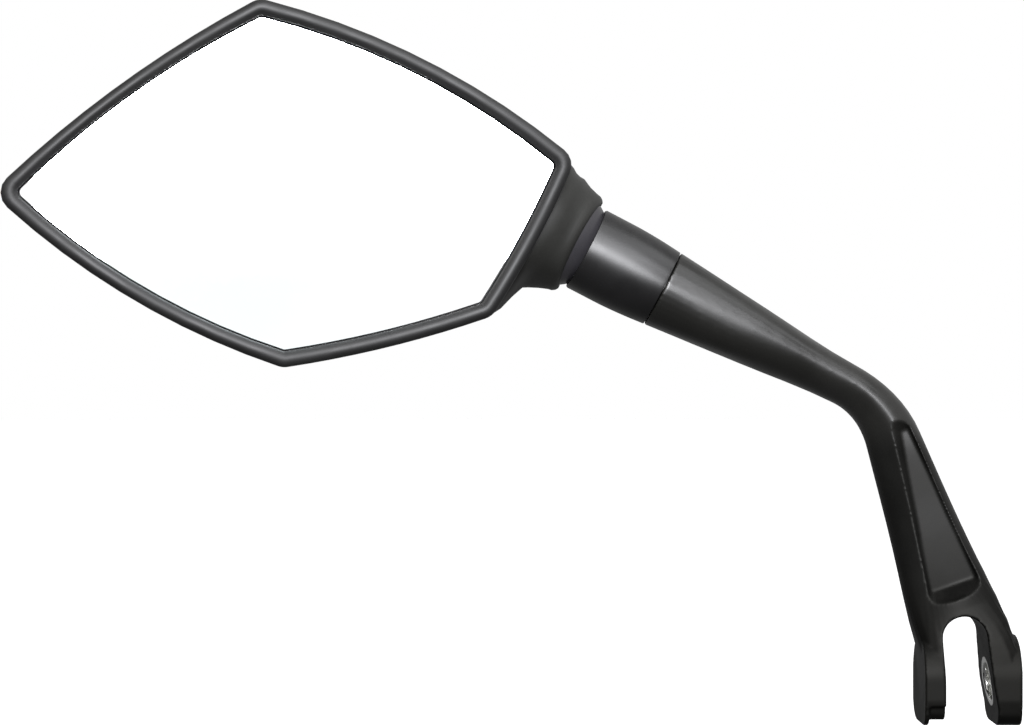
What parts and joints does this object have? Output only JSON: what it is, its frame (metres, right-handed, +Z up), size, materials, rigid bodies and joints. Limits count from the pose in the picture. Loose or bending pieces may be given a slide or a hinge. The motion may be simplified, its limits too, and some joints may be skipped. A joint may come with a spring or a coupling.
{
  "type": "motorcycle mirror",
  "caption": "Motorcycle rear-view mirror: angular glass in a rimmed shell on a ball joint, with a swivelling upper stem and a bent cast arm that ends in a forked pivot foot.",
  "frame": {"origin": "centre of the pivot bore through the fork's two ears, midway between the ears", "axes": "+X along the bore, out of its open end and towards the machine; -Y is the way the glass faces, +Z is up"},
  "size_m": [0.2867, 0.0616, 0.2049],
  "materials": {
    "cast_arm": "satin",
    "cast_stem": "satin",
    "shell_plastic": "satin",
    "rim_plastic": "satin",
    "mirror_glass": "polished",
    "pad_foam": "matte",
    "carrier_plastic": "matte",
    "pale_plastic": "satin",
    "seal_rubber": "matte",
    "steel": "satin",
    "spring_steel": "satin",
    "bronze": "satin",
    "zinc": "satin"
  },
  "bodies": {
    "arm": {"arm": "cast_arm", "screw_insert": "steel", "swivel_bush": "pale_plastic", "stop_pin": "steel", "swivel_screw": "steel", "pressure_washer": "steel", "disc_springs": "spring_steel"},
    "stem": {"upper_stem": "cast_stem", "seam_seal": "seal_rubber", "thrust_washer": "bronze"},
    "ball_liner": {"ball_liner": "pale_plastic"},
    "head": {"housing": "shell_plastic", "rim": "rim_plastic", "mirror_glass": "mirror_glass", "glass_pad": "pad_foam", "glass_carrier": "carrier_plastic", "carrier_screws": "steel", "ball_clamp": "zinc", "clamp_screws": "steel", "clamp_springs": "spring_steel", "clamp_washers": "steel"}
  },
  "joints": [
    {"name": "stem_swivel", "type": "hinge", "parent": "arm", "child": "stem", "pos_m": [-0.08851, 0, 0.11392], "axis": [0.8862, 0, -0.4633], "range_deg": [-40, 40]},
    {"name": "head_pan", "type": "hinge", "parent": "stem", "child": "ball_liner", "pos_m": [-0.11909, 0, 0.1299], "axis": [0.4633, 0, 0.8862], "range_deg": [-10, 10]},
    {"name": "head_tilt", "type": "hinge", "parent": "ball_liner", "child": "head", "pos_m": [-0.11909, 0, 0.1299], "axis": [0, 1, 0], "range_deg": [-5, 5]}
  ]
}
